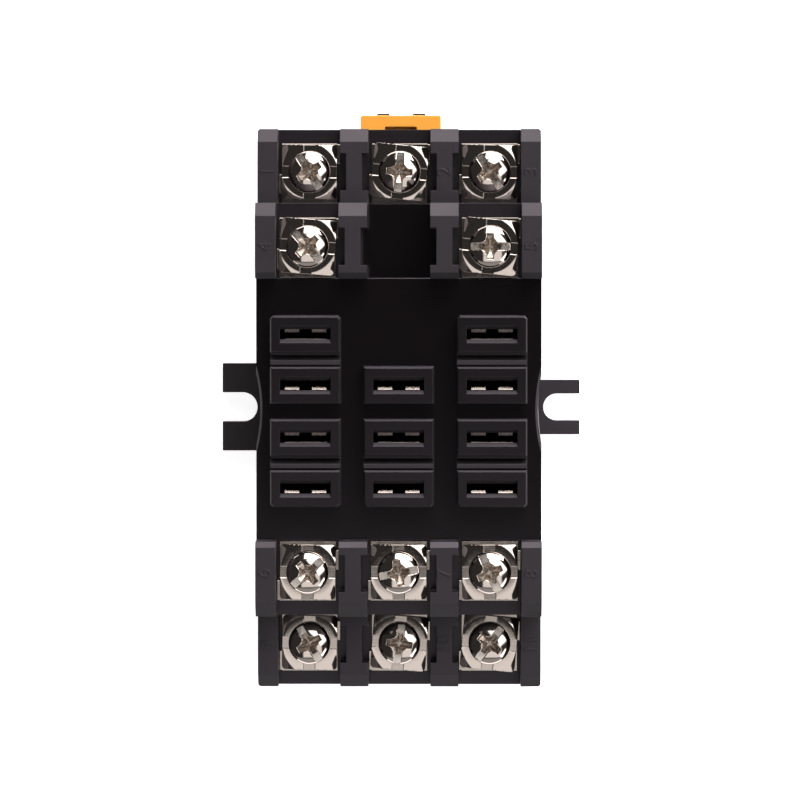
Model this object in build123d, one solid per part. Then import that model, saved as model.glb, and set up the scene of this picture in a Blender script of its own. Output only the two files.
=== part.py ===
from build123d import *
import os

# Screw-terminal socket for a three-pole plug-in power relay.
# It lies on its back: +Z points out of the panel towards the relay, +Y towards the rail clip's tab,
# and X runs from ear to ear. The origin is on the back plane, under the middle of the overall outline.
# All shapes are drawn about the middle of the moulding and shifted to that origin when they are saved.

# Driving dimensions, in millimetres

# Clamp washers and screws, which the cells are made to take
washer_width = 7.2
washer_length = 7.1
washer_thickness = 0.6
washer_drop = 0.3
washer_corner = 0.45
washer_fold_leg = 1.5
washer_fold_angle = 32
washer_foot_leg = 1.4
washer_bore_clearance = 0.3
groove_width = 1.5
groove_depth = 0.2
head_diameter = 5.5
head_top_diameter = 4.9
head_height = 1.9
slot_cut_width = 0.95
slot_cut_depth = 0.75
cross_width = 0.8
cross_reach = 1.75
cross_floor_reach = 0.7
cross_depth = 1.35
thread_diameter = 3.0
thread_length = 8.0
thread_clearance = 0.1
flat_count = 24

# Front moulding: three columns of cells, two decks at each end and the relay's seat between them
outer_wall = 2.6
washer_side_gap = 0.45
barrier = 3.65
lower_deck_length = 9.7
upper_deck_length = 9.7
upper_washer_gap = 0.55
lower_washer_gap = 0.6
seat_length = 33.8
lower_deck_z = 17.5
deck_step = 7.5
cell_depth = 4.5
seat_rise = 1.0
blank_cell_drop = 4.5
floor_thickness = 2.4
end_wall = 2.2
bay_width = 9.0
end_slope_run = 1.7
end_slope_drop = 1.2
inner_slope_run = 0.75
inner_slope_drop = 0.5
recess_depth = 0.8
recess_length = 4.8
recess_start = 1.7
corner_bevel = 0.25
scoop_length = 9.0
scoop_depth = 0.5
scoop_bevel = 0.3

# Raised blade towers on the seat
blade_pitch = 12.0
inner_rows_pitch = 6.75
pair_pitch = 6.55
rows_offset = -0.2
tower_width = 9.05
tower_length = 4.75
tower_height = 2.5
tower_roof = 1.1
tower_edge = 0.2
tower_corner = 0.35
slot_width = 6.5
slot_gap = 1.3
slot_lead_in = 0.45
cavity_width = 6.9
cavity_length = 3.1
bridge_height = 1.0
ridge_height = 2.3
ridge_run = 0.65
ridge_flat = 0.55
groove_run = 0.25

# Rear moulding: rail channel, fixed lip, clip guide and the two ears
base_height = 6.5
rail_width = 35.4
rail_channel_depth = 4.5
rail_slot = 1.2
lip_reach = 1.5
lip_low_z = 0.6
lip_tip_z = 1.9
ear_reach = 5.55
ear_thickness = 3.0
ear_root = 1.8
ears_offset = -0.4
left_ear_length = 11.7
right_ear_length = 7.3
left_hole_offset = 2.85
right_hole_offset = 2.5
left_slot_width = 3.95
right_slot_width = 3.65
core_wall = 1.9
core_rib = 1.6
core_roof = 2.2
spigot_height = 1.6
spigot_clearance = 0.15
bead_width = 5.0
bead_reach = 0.4
bead_height = 0.9
tongue_width = 1.65
tongue_pitch = 4.8
tongue_reach = 2.7
guide_bridge = 3.4

# Rail clip
clip_width = 10.7
clip_thickness = 2.2
clip_hook_reach = 1.4
hook_ramp_run = 1.6
hook_ramp_height = 1.1
clip_travel = 3.0
clip_clearance = 0.15
guide_opening = 8.0
arm_width = 1.0
arm_slot = 1.0
arm_root_run = 4.3
arm_tip_inset = 4.3
arm_tip_gap = 0.8
nib_length = 1.8
nib_reach = 0.8
nib_root = 0.3
tab_reach = 2.3
tab_height = 4.4
tab_corner = 0.3
tab_window_width = 4.2
tab_window_reach = 0.75

# Terminal plates: a plate with a square tapped nut under it and a leg that drops through the deck
plate_side_gap = 0.05
plate_tab_reach = 0.35
plate_tab_run = 2.5
inner_tab_start = 0.3
outer_tab_start = 1.1
plate_thickness = 0.8
plate_margin = 0.15
nut_width = 4.6
nut_height = 1.8
nut_clearance = 0.3
leg_width = 4.2
leg_gap = 0.1
slit_clearance = 0.2

# Blade clips: a back strip from the leg to the slot, with a two-finger fork against it
clip_strip_width = 5.4
clip_strip_thickness = 0.5
finger_thickness = 0.4
finger_split = 1.6
finger_split_height = 1.2
finger_upright = 2.0
weld_tab_height = 2.6
run_below_fork = 0.8
fork_depth = 12.5
back_wall_offset = 0.85
finger_foot_offset = 0.95
finger_pinch_depth = 6.0
finger_pinch_gap = 0.3
finger_mouth_offset = 0.42
finger_roof_gap = 0.25
back_wall_roof_gap = 0.4

# How far a cut runs on past a face, and how far a joined block runs into its neighbour
cut_past = 1.0
sunk_in = 0.5

# Terminals in reading order: column, end (+1 is the clip's end), deck, washer turn, screw slot angle
terminals = [
    (-1, 1, "lower", -0.5, -57.7),
    (0, 1, "lower", -5.8, 85.4),
    (1, 1, "lower", -1.0, -56.6),
    (-1, 1, "upper", -4.4, -47.5),
    (1, 1, "upper", -5.4, 0.0),
    (-1, -1, "upper", -0.5, 41.6),
    (0, -1, "upper", 0.0, 10.9),
    (1, -1, "upper", 0.6, -65.7),
    (-1, -1, "lower", -1.0, -59.2),
    (0, -1, "lower", -4.4, 82.4),
    (1, -1, "lower", -5.5, 53.1),
]

# Worked-out sizes
cell_width = washer_width + 2 * washer_side_gap
cell_pitch = cell_width + barrier
body_width = 2 * outer_wall + 3 * cell_width + 2 * barrier
seat_half = seat_length / 2
step_y = seat_half + upper_deck_length
half_length = step_y + lower_deck_length
upper_deck_z = lower_deck_z + deck_step
lower_wall_z = lower_deck_z + cell_depth
upper_wall_z = upper_deck_z + cell_depth
blank_cell_z = upper_deck_z - blank_cell_drop
seat_z = upper_deck_z + seat_rise
tower_z = seat_z + tower_height
roof_z = tower_z - tower_roof
deck_z = {"upper": upper_deck_z, "lower": lower_deck_z}
deck_start = {"upper": seat_half, "lower": step_y}
screw_y = {"upper": seat_half + upper_washer_gap + washer_length / 2,
           "lower": step_y + lower_washer_gap + washer_length / 2}
fork_foot_z = tower_z - fork_depth
spigot_top_z = base_height + spigot_height
run_z = {"upper": fork_foot_z - run_below_fork,
         "lower": (spigot_top_z + lower_deck_z - floor_thickness - weld_tab_height) / 2}
bay_end = half_length - end_wall
upper_bay_end = step_y - end_wall
rail_half = rail_width / 2
clip_back_gap = rail_channel_depth - rail_slot - clip_thickness
arm_start = rail_half + arm_root_run
arm_end = half_length - arm_tip_inset
outline_shift = -tongue_reach / 2


def row_y(end, deck):
    """Middle of the blade slot that a terminal feeds: the upper decks feed the outer rows."""
    reach = inner_rows_pitch / 2 + (pair_pitch if deck == "upper" else 0)
    return rows_offset + end * reach


def outline_yz(points, width):
    """A prism across the part, from its outline in Y and Z."""
    face = make_face(Polyline(*points, close=True))
    return extrude(Plane.YZ * face, amount=width / 2, both=True)


def hidden_round(radius, length):
    """A round shank or bore that other pieces hide, with flats because it repeats so often."""
    return extrude(RegularPolygon(radius, flat_count), amount=length / 2, both=True)


def between(x, y, z):
    """A block between two values on each axis."""
    size = Box(x[1] - x[0], y[1] - y[0], z[1] - z[0])
    return Pos(sum(x) / 2, sum(y) / 2, sum(z) / 2) * size


# Housing: black front moulding, hollow from behind

def housing_blank():
    """The stepped block with sloped ends on the tops of its walls."""
    half = [
        (seat_half, seat_z),
        (seat_half, upper_wall_z - inner_slope_drop),
        (seat_half + inner_slope_run, upper_wall_z),
        (step_y - end_slope_run, upper_wall_z),
        (step_y, upper_wall_z - end_slope_drop),
        (step_y, lower_wall_z),
        (half_length - end_slope_run, lower_wall_z),
        (half_length, lower_wall_z - end_slope_drop),
        (half_length, base_height),
    ]
    other = [(-y, z) for y, z in reversed(half)]
    blank = outline_yz(half + other, body_width)
    uprights = blank.edges().filter_by(Axis.Z).group_by(Axis.Y)
    return chamfer(uprights[0] + uprights[-1], corner_bevel)


def cell_space(column, end, deck, floor_z):
    """The room over one deck cell, with the recesses that narrow the barriers beside it."""
    start = deck_start[deck]
    length = lower_deck_length if deck == "lower" else upper_deck_length
    top = upper_wall_z + cut_past
    x = column * cell_pitch
    side = cell_width / 2
    space = between((x - side, x + side), (start, start + length + cut_past), (floor_z, top))
    recess = (start + recess_start, start + recess_start + recess_length)
    for way in (-1, 1):
        if way != column:
            edges = sorted((x + way * (side - cut_past), x + way * (side + recess_depth)))
            space += between(edges, recess, (floor_z, top))
    return space if end > 0 else mirror(space, about=Plane.XZ)


def bay_space(column):
    """The bay behind one column, with a stepped ceiling under the decks and the seat."""
    blank_end = blank_cell_z if column == 0 else upper_deck_z
    sides = []
    for upper_floor in (blank_end, upper_deck_z):
        upper = upper_floor - floor_thickness
        sides.append([
            (seat_half - floor_thickness / 2, seat_z - floor_thickness),
            (seat_half - floor_thickness / 2, upper),
            (upper_bay_end, upper),
            (upper_bay_end, lower_deck_z - floor_thickness),
            (bay_end, lower_deck_z - floor_thickness),
            (bay_end, base_height - cut_past),
        ])
    clip_end, far_end = sides
    points = clip_end + [(-y, z) for y, z in reversed(far_end)]
    space = Pos(column * cell_pitch, 0, 0) * outline_yz(points, bay_width)
    for end in (-1, 1):
        groove_y = sorted((end * (bay_end - sunk_in), end * (bay_end + bead_reach + spigot_clearance)))
        half = bead_width / 2 + spigot_clearance
        x = column * cell_pitch
        low = base_height + spigot_clearance
        space += between((x - half, x + half), groove_y, (low, low + bead_height + spigot_clearance))
    return space


def tower(x, y, corner_way):
    """One raised tower with softened top edges, and bevelled corners on its outer side."""
    block = between((x - tower_width / 2, x + tower_width / 2),
                    (y - tower_length / 2, y + tower_length / 2), (seat_z - sunk_in, tower_z))
    if corner_way:
        uprights = block.edges().filter_by(Axis.Z).group_by(Axis.Y)
        block = chamfer(uprights[-1 if corner_way > 0 else 0], tower_corner)
    return chamfer(block.faces().sort_by(Axis.Z)[-1].edges(), tower_edge)


def bridge(x, end):
    """The low bar between two towers of a pair, with its saw-tooth ridge towards the lower one."""
    inner = row_y(end, "lower")
    outer = row_y(end, "upper")
    high_side = max(inner, outer) - tower_length / 2
    low_side = min(inner, outer) + tower_length / 2
    ridge_y = low_side + groove_run
    bridge_z = seat_z + bridge_height
    points = [
        (high_side + tower_edge, seat_z - sunk_in),
        (high_side + tower_edge, bridge_z),
        (ridge_y + ridge_flat + ridge_run, bridge_z),
        (ridge_y + ridge_flat, seat_z + ridge_height),
        (ridge_y, seat_z + ridge_height),
        (ridge_y, bridge_z),
        (low_side - tower_edge, bridge_z),
        (low_side - tower_edge, seat_z - sunk_in),
    ]
    return Pos(x, 0, 0) * outline_yz(points, tower_width)


def slot_space(x, y):
    """The blade slot with its lead-in, and the cavity under the tower's roof."""
    half = slot_gap / 2
    points = [
        (-half - slot_lead_in, tower_z),
        (-half - slot_lead_in, tower_z + cut_past),
        (half + slot_lead_in, tower_z + cut_past),
        (half + slot_lead_in, tower_z),
        (half, tower_z - slot_lead_in),
        (half, roof_z - sunk_in),
        (-half, roof_z - sunk_in),
        (-half, tower_z - slot_lead_in),
    ]
    slot = Pos(x, y, 0) * outline_yz(points, slot_width)
    cavity = between((x - cavity_width / 2, x + cavity_width / 2),
                     (y - cavity_length / 2, y + cavity_length / 2),
                     (seat_z - floor_thickness - sunk_in, roof_z))
    return slot + cavity


def deck_holes(column, end, deck):
    """The square nut well and the leg slit through a deck's floor."""
    x = column * cell_pitch
    y = end * screw_y[deck]
    depth = (deck_z[deck] - floor_thickness - sunk_in, deck_z[deck] + cut_past)
    side = nut_width / 2 + nut_clearance
    well = between((x - side, x + side), (y - side, y + side), depth)
    inner = deck_start[deck]
    outer = inner + leg_gap + plate_thickness + slit_clearance
    half = leg_width / 2 + slit_clearance
    return well + between((x - half, x + half), sorted((end * inner, end * outer)), depth)


def side_scoop(way):
    """The shallow hollow in a side wall that leaves room for a screwdriver at the ear."""
    height = seat_z - ear_thickness
    radius = (scoop_length ** 2 / 4 + scoop_depth ** 2) / (2 * scoop_depth)
    upright = (Align.CENTER, Align.CENTER, Align.MIN)
    cone = Cone(radius - scoop_depth, radius, height, align=upright)
    bevel = Pos(0, 0, height - scoop_bevel) * Cone(radius, radius + scoop_bevel, scoop_bevel, align=upright)
    return Pos(way * (body_width / 2 + radius - scoop_depth), 0, ear_thickness) * (cone + bevel)


def housing():
    solid = housing_blank()
    for end in (-1, 1):
        for deck in ("lower", "upper"):
            for column in (-1, 0, 1):
                blank = end > 0 and deck == "upper" and column == 0
                floor_z = blank_cell_z if blank else deck_z[deck]
                solid -= cell_space(column, end, deck, floor_z)
    for column, end, deck, _, _ in terminals:
        alone = column == 0 and end > 0
        corner_way = end if deck == "upper" else 0
        solid += tower(column * blade_pitch, row_y(end, deck), corner_way)
        if deck == "upper" and not alone:
            solid += bridge(column * blade_pitch, end)
    for column in (-1, 0, 1):
        solid -= bay_space(column)
    for column, end, deck, _, _ in terminals:
        solid -= slot_space(column * blade_pitch, row_y(end, deck))
        solid -= deck_holes(column, end, deck)
    return solid - side_scoop(-1) - side_scoop(1)


# Base: black rear moulding with the rail channel, the clip's guide and the ears

def base_blank():
    """The back block from its side outline: rail channel with a fixed lip at the far end."""
    lip_y = -rail_half + lip_reach
    lip_top = rail_channel_depth - rail_slot
    points = [
        (-half_length, 0),
        (-rail_half, 0),
        (-rail_half, lip_low_z),
        (lip_y, lip_tip_z),
        (lip_y, lip_top),
        (-rail_half, lip_top),
        (-rail_half, rail_channel_depth),
        (rail_half, rail_channel_depth),
        (rail_half, 0),
        (half_length, 0),
        (half_length, base_height),
        (-half_length, base_height),
    ]
    blank = outline_yz(points, body_width)
    uprights = blank.edges().filter_by(Axis.Z).group_by(Axis.Y)
    return chamfer(uprights[0] + uprights[-1], corner_bevel)


def ear(way, length, hole_offset, slot):
    """One ear with its outward-open slot, and the root that carries it up to the base's plate."""
    side = body_width / 2
    plan = Pos(way * (side + (ear_reach - sunk_in) / 2), 0) * Rectangle(ear_reach + sunk_in, length)
    hole_x = way * (side + hole_offset)
    plan -= Pos(hole_x, 0) * Circle(slot / 2)
    plan -= Pos(hole_x + way * ear_reach, 0) * Rectangle(2 * ear_reach, slot)
    root = between(sorted((way * (side - ear_root), way * side)), (-length / 2, length / 2),
                   (0, rail_channel_depth + sunk_in))
    return Pos(0, ears_offset, 0) * (extrude(plan, amount=ear_thickness) + root)


def guide_space():
    """The clip's guide: a wide slot under the block, open behind, with room for the nibs' travel."""
    half = clip_width / 2 + clip_clearance
    low = clip_back_gap - clip_clearance
    high = clip_back_gap + clip_thickness + clip_clearance
    run = (rail_half - cut_past, half_length + cut_past)
    space = between((-half, half), run, (low, high))
    space += between((-guide_opening / 2, guide_opening / 2),
                     (rail_half - cut_past, half_length - guide_bridge), (-cut_past, low + sunk_in))
    nib_end = half + nib_reach
    nib_run = (arm_end - nib_length - clip_clearance, arm_end + clip_travel + clip_clearance)
    return space + between((-nib_end, nib_end), nib_run, (low, high))


def core_spaces():
    """Moulding cores that lighten the back outside the rail channel."""
    near = rail_half + core_wall
    far = half_length - core_wall
    width = (body_width - 2 * core_wall - 2 * core_rib) / 3
    depth = (-cut_past, base_height - core_roof)
    spaces = []
    for column in (-1, 0, 1):
        x = column * (width + core_rib)
        spaces.append(between((x - width / 2, x + width / 2), (-far, -near), depth))
    inner = clip_width / 2 + clip_clearance + nib_reach + core_rib
    outer = body_width / 2 - core_wall
    for way in (-1, 1):
        spaces.append(between(sorted((way * inner, way * outer)), (near, far), depth))
    return spaces


def spigot(column):
    """The raised pad that fits one bay of the housing, with a snap bead at each end."""
    x = column * cell_pitch
    half = bay_width / 2 - spigot_clearance
    reach = bay_end - spigot_clearance
    pad = between((x - half, x + half), (-reach, reach), (base_height - sunk_in, spigot_top_z))
    low = base_height + 2 * spigot_clearance
    for end in (-1, 1):
        points = [
            (end * (reach - sunk_in), low),
            (end * (bay_end + bead_reach - spigot_clearance), low),
            (end * reach, low + bead_height),
            (end * (reach - sunk_in), low + bead_height),
        ]
        pad += Pos(x, 0, 0) * outline_yz(points, bead_width)
    return pad


def base():
    solid = base_blank()
    solid += ear(-1, left_ear_length, left_hole_offset, left_slot_width)
    solid += ear(1, right_ear_length, right_hole_offset, right_slot_width)
    solid -= guide_space()
    for space in core_spaces():
        solid -= space
    for column in (-1, 0, 1):
        solid += spigot(column)
    for way in (-1, 1):
        x = way * tongue_pitch / 2
        solid += between((x - tongue_width / 2, x + tongue_width / 2),
                         (half_length - guide_bridge + sunk_in, half_length + tongue_reach),
                         (0, clip_back_gap - clip_clearance))
    return solid


# Rail clip: orange moulding with a hook, two sprung arms and a tab for the screwdriver

def din_clip():
    half = clip_width / 2
    hook_y = rail_half - clip_hook_reach
    tab_y = half_length + tab_reach
    body_y = half_length + clip_clearance
    plan = Pos(0, (hook_y + tab_y) / 2) * Rectangle(clip_width, tab_y - hook_y)
    for way in (-1, 1):
        arm_x = way * (half - arm_width - arm_slot / 2)
        plan -= Pos(arm_x, (arm_start + arm_end) / 2) * Rectangle(arm_slot, arm_end - arm_start)
        tip_x = way * (half - (arm_width + arm_slot) / 2)
        plan -= Pos(tip_x, arm_end + arm_tip_gap / 2) * Rectangle(arm_width + arm_slot, arm_tip_gap)
        nib = Polyline(
            (way * (half - nib_root), arm_end),
            (way * (half + nib_reach - clip_clearance), arm_end),
            (way * (half + nib_reach - clip_clearance), arm_end - nib_length / 2),
            (way * (half - nib_root), arm_end - nib_length),
            close=True)
        plan += make_face(nib)
    tips = plan.vertices().group_by(Axis.Y)[-1]
    plan = fillet(tips, tab_corner)
    solid = extrude(plan, amount=clip_thickness)
    tab_plan = Pos(0, (body_y + tab_y) / 2) * Rectangle(clip_width, tab_y - body_y)
    tab_plan = fillet(tab_plan.vertices().group_by(Axis.Y)[-1], tab_corner)
    solid += extrude(tab_plan, amount=tab_height)
    window_y = half_length + tab_window_reach
    solid -= between((-tab_window_width / 2, tab_window_width / 2), (body_y - sunk_in, window_y),
                     (clip_thickness, tab_height + cut_past))
    ramp = [(hook_y - cut_past, -cut_past), (hook_y + hook_ramp_run, -cut_past), (hook_y + hook_ramp_run, 0),
            (hook_y, hook_ramp_height), (hook_y - cut_past, hook_ramp_height)]
    solid -= outline_yz(ramp, clip_width + 2 * cut_past)
    return Pos(0, 0, clip_back_gap) * solid


# Terminal plate with its tapped nut block: drawn for the clip's end at X 0, then turned for the far end

def terminal_plate(deck):
    z = deck_z[deck]
    start = deck_start[deck] + leg_gap
    middle = screw_y[deck]
    outer = middle + washer_length / 2 + plate_margin
    half = cell_width / 2 - plate_side_gap - plate_tab_reach
    plan = Pos(0, (start + outer) / 2) * Rectangle(2 * half, outer - start)
    for way, tab_end in ((-1, middle - inner_tab_start), (1, middle + outer_tab_start + plate_tab_run)):
        x = way * (half + plate_tab_reach / 2)
        plan += Pos(x, tab_end - plate_tab_run / 2) * Rectangle(plate_tab_reach, plate_tab_run)
    solid = Pos(0, 0, z) * extrude(plan, amount=plate_thickness)
    side = nut_width / 2
    solid += between((-side, side), (middle - side, middle + side), (z - nut_height, z + plate_thickness))
    bore = thread_diameter / 2 + thread_clearance
    solid -= Pos(0, middle, z) * hidden_round(bore, 2 * (nut_height + plate_thickness))
    return solid + between((-leg_width / 2, leg_width / 2), (start, start + plate_thickness),
                           (run_z[deck], z + plate_thickness))


# Blade clip: drawn like the plate, with the strip's tab flat against the leg

def blade_clip(deck, end):
    slot_y = end * row_y(end, deck)
    way = 1 if deck == "upper" else -1
    tab_y = deck_start[deck] + leg_gap
    low = run_z[deck]
    back_y = slot_y - way * back_wall_offset
    half = clip_strip_thickness / 2
    back_top = roof_z - back_wall_roof_gap
    strip_points = [(tab_y, low + weld_tab_height), (tab_y, low),
                    (back_y - half, low), (back_y - half, back_top),
                    (back_y + half, back_top), (back_y + half, low + clip_strip_thickness),
                    (tab_y - clip_strip_thickness, low + clip_strip_thickness),
                    (tab_y - clip_strip_thickness, low + weld_tab_height)]
    solid = outline_yz(strip_points, clip_strip_width)
    t = finger_thickness
    foot = slot_y + way * finger_foot_offset
    pinch = back_y + way * (half + finger_pinch_gap)
    mouth = slot_y + way * finger_mouth_offset
    pinch_z = tower_z - finger_pinch_depth
    top_z = roof_z - finger_roof_gap
    fork_points = [(back_y, fork_foot_z), (foot + way * t / 2, fork_foot_z),
                   (foot + way * t / 2, fork_foot_z + finger_upright), (pinch + way * t, pinch_z),
                   (mouth + way * t / 2, top_z), (mouth - way * t / 2, top_z),
                   (pinch, pinch_z), (foot - way * t / 2, fork_foot_z + finger_upright),
                   (foot - way * t / 2, fork_foot_z + t), (back_y, fork_foot_z + t)]
    fork = outline_yz(fork_points, clip_strip_width)
    split_y = sorted((back_y + way * (half + finger_pinch_gap / 2), foot + way * (t + cut_past)))
    split_z = (fork_foot_z + finger_split_height, top_z + cut_past)
    fork -= between((-finger_split / 2, finger_split / 2), split_y, split_z)
    return solid + fork


# Clamp washer: square, with folded-down corners and four pressed grooves

def clamp_washer():
    plan = chamfer(Rectangle(washer_width, washer_length).vertices(), washer_corner)
    height = washer_thickness + washer_drop
    solid = extrude(plan, amount=height)
    under = Rectangle(washer_width + 2 * cut_past, washer_length + 2 * cut_past)
    under = chamfer(under.vertices(), 2 * cut_past + washer_foot_leg)
    solid -= extrude(under, amount=washer_drop)
    fold_start = ((washer_width + washer_length) / 2 - washer_fold_leg) / 2 ** 0.5
    cutter = Box(washer_width, 2 * washer_width, washer_width, align=(Align.MIN, Align.CENTER, Align.MIN))
    for corner in (45, 135, 225, 315):
        solid -= Rot(0, 0, corner) * Pos(fold_start, 0, height) * Rot(0, washer_fold_angle, 0) * cutter
    for turn in (0, 90, 180, 270):
        groove = between((head_diameter / 2, washer_width), (-groove_width / 2, groove_width / 2),
                         (height - groove_depth, height + cut_past))
        solid -= Rot(0, 0, turn) * groove
    return solid - hidden_round((thread_diameter + washer_bore_clearance) / 2, 4 * height)


# Terminal screw: tapered head with a full slot and a cross recess; the fine thread isn't cut here

def terminal_screw():
    radius = head_diameter / 2
    outline = Polyline((0, head_height), (head_top_diameter / 2, head_height), (radius, 0), (0, 0), close=True)
    solid = revolve(Plane.XZ * make_face(outline), Axis.Z)
    solid += Pos(0, 0, -thread_length / 2) * hidden_round(thread_diameter / 2, thread_length)
    solid -= between((-radius, radius), (-slot_cut_width / 2, slot_cut_width / 2),
                     (head_height - slot_cut_depth, head_height + cut_past))
    floor_z = head_height - cross_depth
    wing = make_face(Polyline((-cross_reach, head_height), (-cross_floor_reach, floor_z),
                              (cross_floor_reach, floor_z), (cross_reach, head_height), close=True))
    wing = extrude(Plane.XZ * wing, amount=cross_width / 2, both=True)
    solid -= wing
    return solid - Rot(0, 0, 90) * wing


def save(node, shape):
    """Shift a finished piece to the part's origin and write it."""
    export_step(Pos(0, outline_shift, 0) * shape, f"parts/{node}.step")


os.makedirs("parts", exist_ok=True)
save("housing", housing())
save("base", base())
save("din_clip", din_clip())
washer = clamp_washer()
screw = terminal_screw()
for number, (column, end, deck, washer_turn, slot_angle) in enumerate(terminals, start=1):
    turn = Rot(0, 0, 0 if end > 0 else 180)
    plate_top = deck_z[deck] + plate_thickness
    stack = Pos(column * cell_pitch, end * screw_y[deck], plate_top)
    head_seat = washer_thickness + washer_drop
    save(f"terminal_plate_{number}", Pos(column * cell_pitch, 0, 0) * turn * terminal_plate(deck))
    save(f"blade_clip_{number}", Pos(column * blade_pitch, 0, 0) * turn * blade_clip(deck, end))
    save(f"clamp_washer_{number}", stack * Rot(0, 0, washer_turn) * washer)
    save(f"terminal_screw_{number}", stack * Pos(0, 0, head_seat) * Rot(0, 0, slot_angle) * screw)
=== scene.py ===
import math

import bmesh
import bpy
from mathutils import Matrix, Vector


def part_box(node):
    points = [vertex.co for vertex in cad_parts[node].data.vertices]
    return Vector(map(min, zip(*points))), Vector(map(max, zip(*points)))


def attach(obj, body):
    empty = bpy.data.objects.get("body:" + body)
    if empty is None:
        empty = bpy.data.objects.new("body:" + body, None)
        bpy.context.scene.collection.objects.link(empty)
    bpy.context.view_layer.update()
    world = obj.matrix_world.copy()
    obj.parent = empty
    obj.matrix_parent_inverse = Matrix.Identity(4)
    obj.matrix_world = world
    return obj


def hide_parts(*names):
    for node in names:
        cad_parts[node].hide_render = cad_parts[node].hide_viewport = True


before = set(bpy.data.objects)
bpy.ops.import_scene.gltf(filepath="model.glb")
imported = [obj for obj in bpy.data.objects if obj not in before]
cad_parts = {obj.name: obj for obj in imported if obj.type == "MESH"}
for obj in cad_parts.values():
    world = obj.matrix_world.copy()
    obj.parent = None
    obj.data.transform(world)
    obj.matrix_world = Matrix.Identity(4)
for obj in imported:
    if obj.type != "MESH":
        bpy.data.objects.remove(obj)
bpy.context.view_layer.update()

# Base: the rear moulding with the rail channel and the two ears. It is moulded in black phenolic, a
# thermoset, in a spark-eroded tool, which leaves a fine satin grain, and its upper edge meets the
# housing in a fine parting line all round.

mm = 0.001
moulded_edge = 0.1 * mm
nearly_level = 0.9


def linear_rgb(code):
    """The linear colour, with alpha 1, of an sRGB hex value."""
    parts = [int(code[place:place + 2], 16) / 255 for place in (1, 3, 5)]
    return [p / 12.92 if p <= 0.04045 else ((p + 0.055) / 1.055) ** 2.4 for p in parts] + [1]


def add_node(tree, kind, values=None, links=None, **settings):
    """One node in a tree: its own settings, the values of its sockets, and what is linked to them."""
    node = tree.nodes.new(kind)
    for name, value in settings.items():
        setattr(node, name, value)
    for socket, value in (values or {}).items():
        node.inputs[socket].default_value = value
    for socket, source in (links or {}).items():
        tree.links.new(source, node.inputs[socket])
    return node


def new_material(name):
    """An empty node material and the tree that its nodes go into."""
    material = bpy.data.materials.new(name)
    material.use_nodes = True
    material.node_tree.nodes.clear()
    return material, material.node_tree


def moulded_black_phenolic(name, edge, rough, polished=(), polished_rough=0.1):
    """Black phenolic as moulded: near black, with a fine satin grain and softened edges.

    Faces at the polished heights come from smoother parts of the tool, so they mirror the dark room.
    """
    material, tree = new_material(name)
    where = add_node(tree, "ShaderNodeTexCoord").outputs
    place = where["Object"]
    grain = add_node(tree, "ShaderNodeTexNoise", {"Scale": 1 / (0.18 * mm), "Detail": 3.0, "Roughness": 0.6},
                     {"Vector": place}).outputs["Fac"]
    cloud = add_node(tree, "ShaderNodeTexNoise", {"Scale": 1 / (9 * mm), "Detail": 2.0},
                     {"Vector": place}).outputs["Fac"]
    shine = add_node(tree, "ShaderNodeMapRange", {"From Min": 0.3, "From Max": 0.7, "To Min": rough - 0.04,
                                                  "To Max": rough + 0.04}, {"Value": cloud}).outputs["Result"]
    edges = add_node(tree, "ShaderNodeBevel", {"Radius": edge}, samples=4).outputs["Normal"]
    relief = add_node(tree, "ShaderNodeBump", {"Strength": 0.3, "Distance": 0.02 * mm},
                      {"Height": grain, "Normal": edges})
    if polished:
        height = add_node(tree, "ShaderNodeSeparateXYZ", links={"Vector": place}).outputs["Z"]
        facing = add_node(tree, "ShaderNodeSeparateXYZ", links={"Vector": where["Normal"]}).outputs["Z"]
        level_faces = add_node(tree, "ShaderNodeMath", {1: nearly_level}, {0: facing},
                               operation="GREATER_THAN")
        smooth = None
        for level, share in polished:
            match = add_node(tree, "ShaderNodeMath", {1: level, 2: 0.1 * mm}, {0: height},
                             operation="COMPARE")
            here = add_node(tree, "ShaderNodeMath", {1: share}, {0: match.outputs[0]},
                            operation="MULTIPLY").outputs[0]
            smooth = here if smooth is None else add_node(tree, "ShaderNodeMath", links={0: smooth, 1: here},
                                                          operation="MAXIMUM").outputs[0]
        smooth = add_node(tree, "ShaderNodeMath", links={0: smooth, 1: level_faces.outputs[0]},
                          operation="MULTIPLY").outputs[0]
        shine = add_node(tree, "ShaderNodeMix", {"B": polished_rough}, {"Factor": smooth, "A": shine},
                         data_type="FLOAT").outputs["Result"]
        strength = add_node(tree, "ShaderNodeMapRange", {"To Min": 0.3, "To Max": 0.04}, {"Value": smooth})
        tree.links.new(strength.outputs["Result"], relief.inputs["Strength"])
    shader = add_node(tree, "ShaderNodeBsdfPrincipled", {"Base Color": linear_rgb("#0c090b"), "IOR": 1.5,
                                                       "Specular Tint": linear_rgb("#fff2ff")},
                      {"Roughness": shine, "Normal": relief.outputs["Normal"]})
    add_node(tree, "ShaderNodeOutputMaterial", links={"Surface": shader.outputs["BSDF"]})
    return material


def clean_mesh(node):
    """The mesh of a CAD solid with its loose triangles merged to whole flat faces."""
    work = bmesh.new()
    work.from_mesh(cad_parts[node].data)
    bmesh.ops.remove_doubles(work, verts=work.verts, dist=0.001 * mm)
    bmesh.ops.dissolve_limit(work, angle_limit=math.radians(0.5), verts=work.verts, edges=work.edges)
    work.verts.index_update()
    corners = [vertex.co[:] for vertex in work.verts]
    faces = [[vertex.index for vertex in face.verts] for face in work.faces]
    work.free()
    mesh = bpy.data.meshes.new(node + "_skin")
    mesh.from_pydata(corners, [], faces)
    return mesh


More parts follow.
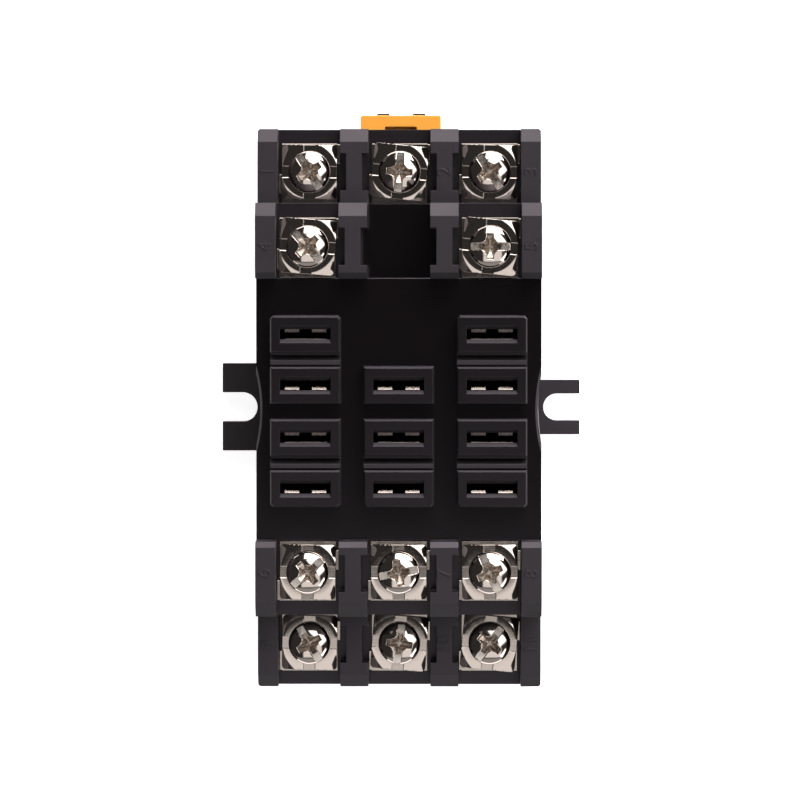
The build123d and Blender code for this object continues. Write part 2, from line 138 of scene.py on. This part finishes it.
def finished(mesh, body, materials, edge, steps=2, crease=50, replaced=()):
    """A piece from its mesh: edges rounded to the real size, smooth faces, finish and body, with the parts it
    replaces hidden.
    """
    piece = bpy.data.objects.new(mesh.name, mesh)
    bpy.context.scene.collection.objects.link(piece)
    mesh.shade_smooth()
    mesh.set_sharp_from_angle(angle=math.radians(20))
    for material in materials:
        mesh.materials.append(material)
    if edge:
        rounding = piece.modifiers.new("rounded_edges", "BEVEL")
        rounding.width = edge
        rounding.segments = steps
        rounding.limit_method = "ANGLE"
        rounding.angle_limit = math.radians(crease)
        rounding.use_clamp_overlap = False
        rounding.harden_normals = True
        rounding.miter_outer = "MITER_ARC"
    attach(piece, body)
    if replaced:
        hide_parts(*replaced)
    return piece


# Unpolished all over, so the base is an even satin black.
base_black = moulded_black_phenolic("moulded_black_phenolic_base", moulded_edge, 0.46)
finished(clean_mesh("base"), "socket", [base_black], 0, replaced=["base"])

# Rail clip: a separate spring clip in orange acetal, moulded and pushed into the base's guide. Acetal
# is slightly waxy and translucent, so its edges look paler than its faces.


def moulded_orange_acetal():
    """Orange acetal as moulded: satin, with light that enters and comes out a little way off."""
    material, tree = new_material("moulded_orange_acetal")
    place = add_node(tree, "ShaderNodeTexCoord").outputs["Object"]
    flow = add_node(tree, "ShaderNodeTexNoise", {"Scale": 1 / (3 * mm), "Detail": 2.0}, {"Vector": place})
    grain = add_node(tree, "ShaderNodeTexNoise", {"Scale": 1 / (0.15 * mm), "Detail": 2.0}, {"Vector": place})
    tint = add_node(tree, "ShaderNodeMix", {6: linear_rgb("#eba036"), 7: linear_rgb("#efa941")},
                    {0: flow.outputs["Fac"]}, data_type="RGBA")
    relief = add_node(tree, "ShaderNodeBump", {"Strength": 0.2, "Distance": 0.02 * mm},
                      {"Height": grain.outputs["Fac"]})
    shader = add_node(tree, "ShaderNodeBsdfPrincipled",
                      {"Roughness": 0.38, "IOR": 1.48, "Subsurface Weight": 0.35,
                       "Subsurface Scale": 0.8 * mm, "Subsurface Radius": (1.0, 0.5, 0.2)},
                      {"Base Color": tint.outputs[2], "Normal": relief.outputs["Normal"]})
    add_node(tree, "ShaderNodeOutputMaterial", links={"Surface": shader.outputs["BSDF"]})
    return material


clip_edge = 0.12 * mm
finished(clean_mesh("din_clip"), "rail_clip", [moulded_orange_acetal()], clip_edge,
         replaced=["din_clip"])

# Blade clips: one in each cavity of the housing, stamped and bent from spring bronze strip and nickel
# plated in the barrel. Only the two fingers of each fork show, as bright lines inside the blade slots.


def nickel_plate(name, colour, rough, streak, along, shaded_below=None, mottle=None, relief_depth=0.12):
    """Bright nickel over stamped metal: a warm grey mirror, dulled in streaks by handling and rolling.

    With a shade height (the argument after along), the colour below it is painted near black, as painted
    shade. The colour in mottle, if any, darkens it in patches.
    """
    material, tree = new_material(name)
    place = add_node(tree, "ShaderNodeTexCoord").outputs["Object"]
    drawn = add_node(tree, "ShaderNodeMapping", {"Scale": along}, {"Vector": place})
    lines = add_node(tree, "ShaderNodeTexNoise", {"Scale": 1 / streak, "Detail": 4.0, "Roughness": 0.65},
                     {"Vector": drawn.outputs["Vector"]})
    cloud = add_node(tree, "ShaderNodeTexNoise", {"Scale": 1 / (1.2 * mm), "Detail": 3.0}, {"Vector": place})
    both = add_node(tree, "ShaderNodeMath", links={0: lines.outputs["Fac"], 1: cloud.outputs["Fac"]},
                    operation="MULTIPLY")
    dull = add_node(tree, "ShaderNodeMapRange", {"From Min": 0.15, "From Max": 0.4, "To Min": rough[0],
                                                 "To Max": rough[1]}, {"Value": both.outputs["Value"]})
    relief = add_node(tree, "ShaderNodeBump", {"Strength": relief_depth, "Distance": 0.01 * mm},
                      {"Height": lines.outputs["Fac"]})
    shader = add_node(tree, "ShaderNodeBsdfPrincipled", {"Base Color": linear_rgb(colour), "Metallic": 1.0},
                      {"Roughness": dull.outputs["Result"], "Normal": relief.outputs["Normal"]})
    if mottle:
        patch = add_node(tree, "ShaderNodeTexNoise", {"Scale": 1 / (0.3 * mm), "Detail": 2.0},
                         {"Vector": place})
        share = add_node(tree, "ShaderNodeMapRange", {"From Min": 0.4, "From Max": 0.6},
                         {"Value": patch.outputs["Fac"]})
        patch_colour = add_node(tree, "ShaderNodeMix", {6: linear_rgb(mottle), 7: linear_rgb(colour)},
                         {0: share.outputs["Result"]}, data_type="RGBA")
        tree.links.new(patch_colour.outputs[2], shader.inputs["Base Color"])
    # Painted shade: below this height the colour goes near black, as if in the shade of the slot.
    if shaded_below is not None:
        height = add_node(tree, "ShaderNodeSeparateXYZ", links={"Vector": place}).outputs["Z"]
        unshaded_share = add_node(tree, "ShaderNodeMapRange",
                          {"From Min": shaded_below - 0.05 * mm, "From Max": shaded_below}, {"Value": height})
        tint = add_node(tree, "ShaderNodeMix", {6: linear_rgb("#1c1916"), 7: linear_rgb(colour)},
                        {0: unshaded_share.outputs["Result"]}, data_type="RGBA")
        tree.links.new(tint.outputs[2], shader.inputs["Base Color"])
    add_node(tree, "ShaderNodeOutputMaterial", links={"Surface": shader.outputs["BSDF"]})
    return material


terminals = range(1, 12)
unshaded_tip = 0.25 * mm
lead_in = 0.2 * mm
finger_length = 2 * mm
same_height = 0.01 * mm

# Only the tips keep the plated colour. Below them the fingers are painted near black: painted shade down in
# the blade slots.
plated_bronze = nickel_plate("nickel_plated_spring_bronze", "#a59b94", (0.2, 0.4), 0.1 * mm,
                             (1.0, 0.15, 0.15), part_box("blade_clip_1")[1].z - unshaded_tip)
for number in terminals:
    name = f"blade_clip_{number}"
    mesh = clean_mesh(name)
    top = max(vertex.co.z for vertex in mesh.vertices)
    tips = [vertex for vertex in mesh.vertices if vertex.co.z > top - same_height]
    below = [vertex.co.y for vertex in mesh.vertices
             if top - finger_length < vertex.co.z < top - same_height]
    tip_y = sum(vertex.co.y for vertex in tips) / len(tips)
    inward = 1 if sum(below) / len(below) > tip_y else -1
    for vertex in tips:
        if (vertex.co.y - tip_y) * inward > 0:
            vertex.co.z -= lead_in
    finished(mesh, "socket", [plated_bronze], 0.04 * mm, replaced=[name])

# Terminal plates: stamped from brass strip, tapped for the screw, bent down into the housing and
# nickel plated. Their sheared edges show beside and below the clamp washers.

# A warm bright mirror, with faint dull lines along the strip that it was cut from.
plated_brass = nickel_plate("nickel_plated_brass", "#c2b7af", (0.06, 0.16), 0.1 * mm, (0.15, 1.0, 0.15))
for number in terminals:
    name = f"terminal_plate_{number}"
    finished(clean_mesh(name), "socket", [plated_brass], 0.06 * mm, replaced=[name])

# Housing: the front moulding with the terminal decks, the barriers between them and the raised blade
# towers. It is moulded in the same black phenolic as the base and snapped on over the metal parts.

# Each smooth level face has its height and how smooth it is. The rest of the housing stays satin.
walls_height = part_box("housing")[1].z
tower_tops = (walls_height - 1.0 * mm, 0.8)
upper_decks = (walls_height - 4.5 * mm, 0.6)
lower_decks = (walls_height - 12.0 * mm, 0.6)
seat_floor = (walls_height - 3.5 * mm, 1.0)
blank_cell_floor = (walls_height - 9.0 * mm, 1.0)
housing_black = moulded_black_phenolic("moulded_black_phenolic_housing", moulded_edge, 0.5,
                                       (tower_tops, upper_decks, lower_decks, seat_floor, blank_cell_floor))
finished(clean_mesh("housing"), "socket", [housing_black], 0, replaced=["housing"])

# Terminal numbers: plain figures moulded in low relief on top of the wall beside each terminal, in the
# housing's own black, so that only their edges catch the light.


def baked(piece):
    """The evaluated mesh of an object, which is then removed."""
    graph = bpy.context.evaluated_depsgraph_get()
    mesh = bpy.data.meshes.new_from_object(piece.evaluated_get(graph))
    bpy.data.objects.remove(piece)
    return mesh


def joined(meshes, name):
    """One mesh from several, with doubles left apart."""
    work = bmesh.new()
    for mesh in meshes:
        work.from_mesh(mesh)
    whole = bpy.data.meshes.new(name)
    work.to_mesh(whole)
    work.free()
    return whole


figure_height = 1.8 * mm
figure_em = 1.35 * figure_height
figure_relief = 0.1 * mm
figure_bevel = 0.3 * figure_relief
wall_rise = 3.7 * mm
outer_wall_middle = 1.3 * mm
barrier_middle = 5.875 * mm
near_middle = 1 * mm
housing_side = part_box("housing")[1].x
figures = []
for number in terminals:
    low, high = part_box(f"terminal_screw_{number}")
    middle = (low + high) / 2
    side = (middle.x > near_middle) - (middle.x < -near_middle)
    wall_x = side * (housing_side - outer_wall_middle) if side else barrier_middle
    wall_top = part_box(f"terminal_plate_{number}")[1].z + wall_rise
    letters = bpy.data.curves.new(f"figure_{number}", "FONT")
    letters.body = str(number)
    letters.size = figure_em
    letters.extrude = figure_relief - figure_bevel
    letters.bevel_depth = figure_bevel
    letters.align_x = "CENTER"
    letters.align_y = "CENTER"
    letters.resolution_u = 6
    figure = bpy.data.objects.new(f"figure_{number}", letters)
    bpy.context.scene.collection.objects.link(figure)
    mesh = baked(figure)
    mesh.transform(Matrix.Translation((wall_x, middle.y, wall_top)) @ Matrix.Rotation(math.pi / 2, 4, "Z"))
    figures.append(mesh)
finished(joined(figures, "terminal_numbers"), "socket", [housing_black], 0)

# Clamp washers: pressed from steel strip and nickel plated bright, one under each screw. The press
# folds the corners down to bite the wire and leaves four shallow grooves from the middle outwards.


def turned(profile, name, steps=72):
    """A closed solid of revolution about Z from a profile of radius and height, top to bottom."""
    rings, corners, faces = [], [], []
    for radius, height in profile:
        if radius == 0:
            rings.append([len(corners)])
            corners.append((0, 0, height))
            continue
        rings.append(range(len(corners), len(corners) + steps))
        corners += [(radius * math.cos(a), radius * math.sin(a), height)
                    for a in (2 * math.pi * k / steps for k in range(steps))]
    for upper, lower in zip(rings, rings[1:]):
        for k in range(steps):
            after = (k + 1) % steps
            loop = [upper[k % len(upper)], lower[k % len(lower)], lower[after % len(lower)],
                    upper[after % len(upper)]]
            faces.append(list(dict.fromkeys(loop)))
    mesh = bpy.data.meshes.new(name)
    mesh.from_pydata(corners, [], faces)
    return mesh


def prism(outline, low, high, name, foot=1.0):
    """A closed prism on Z from a plan outline, with its lower end scaled by foot."""
    count = len(outline)
    corners = [(x * foot, y * foot, low) for x, y in outline] + [(x, y, high) for x, y in outline]
    faces = [list(range(count))[::-1], list(range(count, 2 * count))]
    faces += [[k, (k + 1) % count, count + (k + 1) % count, count + k] for k in range(count)]
    mesh = bpy.data.meshes.new(name)
    mesh.from_pydata(corners, [], faces)
    return mesh


def rounded_plan(width, length, radius, steps=8):
    """The outline of a rectangle with round corners."""
    points = []
    for turn, (cx, cy) in enumerate(((1, 1), (-1, 1), (-1, -1), (1, -1))):
        for k in range(steps + 1):
            angle = math.radians(90 * (turn + k / steps))
            points.append((cx * (width / 2 - radius) + radius * math.cos(angle),
                           cy * (length / 2 - radius) + radius * math.sin(angle)))
    return points


def carved(blank, tools, name):
    """The blank with every tool applied in turn; a tool is a mesh and how it meets the blank."""
    piece = bpy.data.objects.new(name, blank)
    bpy.context.scene.collection.objects.link(piece)
    helpers = []
    for mesh, way in tools:
        helper = bpy.data.objects.new("tool", mesh)
        bpy.context.scene.collection.objects.link(helper)
        cut = piece.modifiers.new("cut", "BOOLEAN")
        cut.operation = way
        cut.object = helper
        cut.solver = "EXACT"
        helpers.append(helper)
    mesh = baked(piece)
    for helper in helpers:
        bpy.data.objects.remove(helper)
    return mesh


washer_width = 7.2 * mm
washer_length = 7.1 * mm
washer_height = 0.9 * mm
washer_arch = 0.3 * mm
washer_bore = 1.65 * mm
arch_radius = 3.9 * mm
flat_radius = 2.6 * mm
corner_radius = 0.55 * mm
fold_start = 3.35 * mm
fold_bend = 0.85 * mm
fold_angle = math.radians(18)
fold_reach = 5.3 * mm
bend_steps = 8
groove_width = 1.5 * mm
groove_depth = 0.16 * mm
groove_start = 2.2 * mm
groove_end = 6 * mm
overrun = 1 * mm
outline = rounded_plan(washer_width, washer_length, corner_radius)
top = [(0, washer_height), (flat_radius, washer_height), (fold_start, washer_height)]
for k in range(1, bend_steps + 1):
    radius, height = top[-1]
    slope = fold_angle * k / bend_steps
    reach = radius + fold_bend / bend_steps if k < bend_steps else fold_reach
    top.append((reach, height - (reach - radius) * math.tan(slope)))
cap = turned(top + [(fold_reach, -overrun), (0, -overrun)], "cap")
arch = turned([(0, washer_arch), (arch_radius, washer_arch), (arch_radius, -overrun), (0, -overrun)], "arch")
bore = turned([(0, 2 * overrun), (washer_bore, 2 * overrun), (washer_bore, -2 * overrun), (0, -2 * overrun)],
              "bore", 48)
tools = [(cap, "INTERSECT"), (arch, "DIFFERENCE"), (bore, "DIFFERENCE")]
for quarter in range(4):
    half = groove_width / 2
    strip = prism([(groove_start, -half), (groove_end, -half), (groove_end, half), (groove_start, half)],
                  washer_height - groove_depth, 2 * overrun, "groove")
    strip.transform(Matrix.Rotation(quarter * math.pi / 2, 4, "Z"))
    tools.append((strip, "DIFFERENCE"))
washer = carved(prism(outline, 0, washer_height + overrun, "clamp_washer"), tools, "clamp_washer")

# A clear mirror, so each washer is black or pale with what it faces, and its grooves and folds flash.
bright_nickel = nickel_plate("bright_nickel_plated_steel", "#c6bbb4", (0.04, 0.1), 0.12 * mm,
                             (0.12, 1.0, 0.2), relief_depth=0.1)
washer_turns = (-0.5, -5.8, -1.0, -4.4, -5.4, -0.5, 0.0, 0.6, -1.0, -4.4, -5.5)
for number, turn in zip(terminals, washer_turns):
    low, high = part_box(f"clamp_washer_{number}")
    middle = (low + high) / 2
    mesh = washer.copy()
    mesh.name = f"pressed_washer_{number}"
    place = Matrix.Translation((middle.x, middle.y, low.z))
    mesh.transform(place @ Matrix.Rotation(math.radians(turn), 4, "Z"))
    finished(mesh, f"washer_{number}", [bright_nickel], 0.05 * mm, 2, 30,
             [f"clamp_washer_{number}"])

# Terminal screws: M3 steel screws, cold headed with a slot and a cross recess, thread rolled and nickel
# plated. The recess is rougher and mottled with darker grey-brown patches.

head_height = 1.9 * mm
head_profile = [(0, 1.9), (0.5, 1.88), (0.9, 1.832), (1.25, 1.768), (1.55, 1.694), (1.8, 1.618), (2.0, 1.548),
                (2.2, 1.467), (2.36, 1.385), (2.5, 1.28), (2.62, 1.15), (2.7, 0.99), (2.74, 0.8), (2.75, 0.6),
                (2.75, 0.1), (2.66, 0), (1.45, 0), (1.45, -0.6), (0, -0.6)]
rim_radius = 0.08 * mm
slot_width = 0.95 * mm
slot_depth = 0.72 * mm
wing_reach = 1.78 * mm
wing_half = 0.42 * mm
lobe_centre = 1.3 * mm
lobe_radius = 0.84 * mm
lobe_start = math.radians(-93.5)
lobe_stop = math.radians(-176.5)
recess_ledge = 1.05 * mm
recess_bottom = 0.35 * mm
ledge_taper = 0.8
bottom_taper = 0.28
dimple_place = 1.83 * mm
dimple_radius = 0.18 * mm
dimple_wall = 0.16 * mm
dimple_point = 0.22 * mm
slot_reach = 4 * mm
rim_overrun = 0.05 * mm
pit_overrun = 0.01 * mm
pitch = 0.5 * mm
thread_radius = 1.5 * mm
thread_length = 7.6 * mm
thread_foot = -8.0 * mm
depth_per_pitch = 0.62
ridge_per_pitch = 0.55
skin = 0.03 * mm
head_reach = 2.5 * mm


def dome_height(radius):
    """The height of the head's surface at a radius."""
    for (inner, above), (outer, below) in zip(head_profile, head_profile[1:]):
        if inner * mm <= radius <= outer * mm:
            return (above + (below - above) * (radius / mm - inner) / (outer - inner)) * mm
    return 0


def cross_outline(steps=9):
    """The plan of the cross recess: four wings, with round lobes of the head between them."""
    points = []
    for quarter in range(4):
        turn = quarter * math.pi / 2
        loop = [(wing_reach, -wing_half), (wing_reach, wing_half)]
        for k in range(steps):
            angle = lobe_start + (lobe_stop - lobe_start) * k / (steps - 1)
            loop.append((lobe_centre + lobe_radius * math.cos(angle),
                         lobe_centre + lobe_radius * math.sin(angle)))
        points += [(x * math.cos(turn) - y * math.sin(turn), x * math.sin(turn) + y * math.cos(turn))
                   for x, y in loop]
    return points


def rolled_thread():
    """A tree that winds a V-shaped ridge round a core, with the thread's sizes as named inputs."""
    tree = bpy.data.node_groups.new("rolled_thread", "GeometryNodeTree")
    sizes = {"Pitch": pitch, "Radius": thread_radius, "Length": thread_length}
    for name in sizes:
        tree.interface.new_socket(name, in_out="INPUT", socket_type="NodeSocketFloat")
    tree.interface.new_socket("Material", in_out="INPUT", socket_type="NodeSocketMaterial")
    tree.interface.new_socket("Mesh", in_out="OUTPUT", socket_type="NodeSocketGeometry")
    given = add_node(tree, "NodeGroupInput").outputs
    turns = add_node(tree, "ShaderNodeMath", links={0: given["Length"], 1: given["Pitch"]},
                     operation="DIVIDE")
    depth = add_node(tree, "ShaderNodeMath", {1: depth_per_pitch}, {0: given["Pitch"]}, operation="MULTIPLY")
    core = add_node(tree, "ShaderNodeMath", links={0: given["Radius"], 1: depth.outputs[0]},
                    operation="SUBTRACT")
    ridge = add_node(tree, "ShaderNodeMath", {1: ridge_per_pitch}, {0: given["Pitch"]}, operation="MULTIPLY")
    ridge_line = add_node(tree, "ShaderNodeMath", links={0: given["Radius"], 1: ridge.outputs[0]},
                          operation="SUBTRACT")
    helix = add_node(tree, "GeometryNodeCurveSpiral", {"Resolution": 36},
                     {"Rotations": turns.outputs[0], "Start Radius": ridge_line.outputs[0],
                      "End Radius": ridge_line.outputs[0], "Height": given["Length"]})
    profile = add_node(tree, "GeometryNodeCurvePrimitiveCircle", {"Resolution": 3},
                       {"Radius": ridge.outputs[0]})
    wound = add_node(tree, "GeometryNodeCurveToMesh", {"Fill Caps": True},
                     {"Curve": helix.outputs["Curve"], "Profile Curve": profile.outputs["Curve"]})
    rod = add_node(tree, "GeometryNodeMeshCylinder", {"Vertices": 36},
                   {"Radius": core.outputs[0], "Depth": given["Length"]})
    half = add_node(tree, "ShaderNodeMath", {1: 0.5}, {0: given["Length"]}, operation="MULTIPLY")
    lift = add_node(tree, "ShaderNodeCombineXYZ", links={"Z": half.outputs[0]})
    raised = add_node(tree, "GeometryNodeTransform", links={"Geometry": rod.outputs["Mesh"],
                                                            "Translation": lift.outputs[0]})
    both = add_node(tree, "GeometryNodeJoinGeometry")
    tree.links.new(wound.outputs["Mesh"], both.inputs[0])
    tree.links.new(raised.outputs["Geometry"], both.inputs[0])
    real = add_node(tree, "GeometryNodeRealizeInstances", links={0: both.outputs[0]})
    coat = add_node(tree, "GeometryNodeSetMaterial", links={"Geometry": real.outputs[0],
                                                            "Material": given["Material"]})
    add_node(tree, "NodeGroupOutput", links={0: coat.outputs["Geometry"]})
    return tree, sizes


# The dome is as bright as the washers. The saw leaves the slot's floor satin and a little paler, and
# the punched recess is duller still and mottled grey-brown.
head_nickel = nickel_plate("bright_nickel_plated_head", "#c6bbb4", (0.05, 0.14), 0.12 * mm, (0.6, 0.6, 0.6))
sawn_steel = nickel_plate("sawn_slot_steel", "#d0c7bf", (0.18, 0.3), 0.1 * mm, (0.3, 0.3, 1.0))
punched_steel = nickel_plate("punched_recess_steel", "#c6bcb2", (0.24, 0.38), 0.14 * mm, (1.0, 1.0, 1.0),
                             mottle="#91867c", relief_depth=0.8)
cross = cross_outline()
recess = prism(cross, recess_ledge, head_height + rim_overrun, "recess", ledge_taper)
pit = prism([(x * ledge_taper, y * ledge_taper) for x, y in cross], recess_bottom,
            recess_ledge + pit_overrun, "pit", bottom_taper)
half = slot_width / 2
slot_tool = prism([(-slot_reach, -half), (slot_reach, -half), (slot_reach, half), (-slot_reach, half)],
                  head_height - slot_depth, head_height + overrun, "slot")
dimple = turned([(0, head_height + overrun), (dimple_radius, head_height + overrun),
                 (dimple_radius, head_height - dimple_wall), (0, head_height - dimple_point)], "dimple", 16)
dimple.transform(Matrix.Rotation(math.pi / 4, 4, "Z") @ Matrix.Translation((dimple_place, 0, 0)))
blank = turned([(r * mm, z * mm) for r, z in head_profile], "screw_head")
head = carved(blank, [(recess, "DIFFERENCE"), (pit, "DIFFERENCE"), (slot_tool, "DIFFERENCE"),
                      (dimple, "DIFFERENCE")], "screw_head")

# Punch, saw and plating leave the rims of recess and slot rounded, so they catch the light.
rims = head.attributes.new("bevel_weight_edge", "FLOAT", "EDGE")
work = bmesh.new()
work.from_mesh(head)
for edge in work.edges:
    flat = [face.normal.z > 0.8 for face in edge.link_faces]
    sharp = len(edge.link_faces) == 2 and edge.calc_face_angle() > math.radians(45)
    middle = (edge.verts[0].co + edge.verts[1].co) / 2
    domed = dome_height(Vector(middle[:2]).length) - middle.z < skin
    rims.data[edge.index].value = float(sharp and any(flat) and domed)
work.free()
head_piece = bpy.data.objects.new("screw_head", head)
bpy.context.scene.collection.objects.link(head_piece)
rounding = head_piece.modifiers.new("rounded_rims", "BEVEL")
rounding.limit_method = "WEIGHT"
rounding.width = rim_radius
rounding.segments = 5
rounding.use_clamp_overlap = False
head = baked(head_piece)

tree, sizes = rolled_thread()
thread_piece = bpy.data.objects.new("thread", bpy.data.meshes.new("thread"))
bpy.context.scene.collection.objects.link(thread_piece)
winding = thread_piece.modifiers.new("rolled_thread", "NODES")
winding.node_group = tree
for socket in tree.interface.items_tree:
    if socket.in_out == "INPUT":
        winding[socket.identifier] = sizes.get(socket.name, bright_nickel)
thread = baked(thread_piece)
thread.transform(Matrix.Translation((0, 0, thread_foot)))

slot_angles = (-57.7, 85.4, -56.6, -47.5, 0.0, 41.6, 10.9, -65.7, -59.2, 82.4, 53.1)
for number, angle in zip(terminals, slot_angles):
    low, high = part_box(f"terminal_screw_{number}")
    middle = (low + high) / 2
    place = Matrix.Translation((middle.x, middle.y, high.z - head_height))
    mesh = joined([head, thread], f"headed_screw_{number}")
    mesh.transform(place @ Matrix.Rotation(math.radians(angle), 4, "Z"))
    finished(mesh, f"screw_{number}", [head_nickel, punched_steel, sawn_steel], 0,
             replaced=[f"terminal_screw_{number}"])
    for face in mesh.polygons:
        reach = (Vector(face.center[:2]) - Vector(middle[:2])).length
        depth = high.z - face.center.z
        inside = reach < head_reach and slot_depth - skin < depth < head_height
        sawn = depth < slot_depth + skin and face.normal.z > nearly_level
        face.material_index = (2 if sawn else 1) if inside else 0

# Studio: a plain pale floor in a dim white room. A large soft panel hangs overhead towards the foot of
# the picture, stronger ones stand on the right and low beyond its head, and a small lamp and a faint
# strip stand low towards its foot.

floor = bpy.data.objects.new("floor", bpy.data.meshes.new("floor"))
floor_reach = 4.0
floor_drop = 0.02 * mm
floor.data.from_pydata([(x * floor_reach, y * floor_reach, -floor_drop)
                        for x, y in ((-1, -1), (1, -1), (1, 1), (-1, 1))], [], [[0, 1, 2, 3]])
bpy.context.scene.collection.objects.link(floor)

# Matt white card, lit so that it stays white. It is clear from behind, for a look at the back.
paper, tree = new_material("matt_white_paper")
shader = add_node(tree, "ShaderNodeBsdfPrincipled",
                  {"Base Color": linear_rgb("#f4f4f4"), "Roughness": 0.9, "Specular IOR Level": 0.1,
                   "Emission Color": linear_rgb("#ffffff"), "Emission Strength": 0.85})
clear = add_node(tree, "ShaderNodeBsdfTransparent")
behind = add_node(tree, "ShaderNodeNewGeometry").outputs["Backfacing"]
one_sided = add_node(tree, "ShaderNodeMixShader",
                     links={0: behind, 1: shader.outputs[0], 2: clear.outputs[0]})
add_node(tree, "ShaderNodeOutputMaterial", links={"Surface": one_sided.outputs[0]})
floor.data.materials.append(paper)

world = bpy.data.worlds.new("white_room")
bpy.context.scene.world = world
world.use_nodes = True
tree = world.node_tree
tree.nodes.clear()
toward = add_node(tree, "ShaderNodeTexCoord").outputs["Generated"]

# A panel is a rectangle in the X and Y of the direction towards it: its middle, its turn in degrees,
# its half size, the softness of its edge and its strength.
overhead_panel = ((0.11, -0.365), 0, (0.39, 0.285), 0.025, 1.15)
right_panel = ((0.36, 0.3), 40, (0.19, 0.42), 0.05, 3.6)
head_panel = ((0.3, 0.78), 0, (0.45, 0.2), 0.04, 8.0)
right_lamp = ((0.68, -0.52), -37, (0.12, 0.2), 0.04, 4.0)
foot_strip = ((0.1, -0.86), 0, (0.7, 0.16), 0.05, 0.4)
panels = (overhead_panel, right_panel, head_panel, right_lamp, foot_strip)
room_glow = 0.04
total = None
for centre, turn, half_size, softness, strength in panels:
    offset = add_node(tree, "ShaderNodeVectorMath", {1: (*centre, 0)}, {0: toward}, operation="SUBTRACT")
    level = add_node(tree, "ShaderNodeVectorRotate", {"Angle": math.radians(-turn)},
                     {"Vector": offset.outputs[0]}, rotation_type="Z_AXIS")
    apart = add_node(tree, "ShaderNodeVectorMath", links={0: level.outputs[0]}, operation="ABSOLUTE")
    past = add_node(tree, "ShaderNodeVectorMath", {1: (*half_size, 0)}, {0: apart.outputs[0]},
                    operation="SUBTRACT")
    sides = add_node(tree, "ShaderNodeSeparateXYZ", links={"Vector": past.outputs[0]}).outputs
    outside = add_node(tree, "ShaderNodeMath", links={0: sides["X"], 1: sides["Y"]}, operation="MAXIMUM")
    glow = add_node(tree, "ShaderNodeMapRange", {"From Min": softness, "From Max": -softness,
                                                 "To Max": strength}, {"Value": outside.outputs[0]},
                    interpolation_type="SMOOTHSTEP").outputs["Result"]
    total = glow if total is None else add_node(tree, "ShaderNodeMath", links={0: total, 1: glow},
                                                operation="ADD").outputs[0]
room = add_node(tree, "ShaderNodeMath", {1: room_glow}, {0: total}, operation="ADD")
sky = add_node(tree, "ShaderNodeBackground", {"Color": linear_rgb("#fffdfb")},
               {"Strength": room.outputs[0]})
add_node(tree, "ShaderNodeOutputWorld", links={"Surface": sky.outputs[0]})

# Camera: at the photograph's place, nearly straight above and a little towards the clip's end.

focal_pixels = 4368
picture_pixels = 800
camera_place = Vector((0.0072, 0.01635, 0.589))
aim_point = Vector((0.0001, -0.00025, 0.022))
camera = bpy.data.objects.new("camera", bpy.data.cameras.new("camera"))
bpy.context.scene.collection.objects.link(camera)
camera.data.sensor_width = 36
camera.data.lens = focal_pixels / picture_pixels * camera.data.sensor_width
camera.location = camera_place
aim = aim_point - camera_place
right = aim.cross(Vector((0, 1, 0))).normalized()
up = right.cross(aim).normalized()
camera.rotation_euler = Matrix((right, up, -aim.normalized())).transposed().to_euler()
camera.data.clip_start, camera.data.clip_end = 0.01, 20
bpy.context.scene.camera = camera
bpy.context.scene.view_settings.view_transform = "Standard"
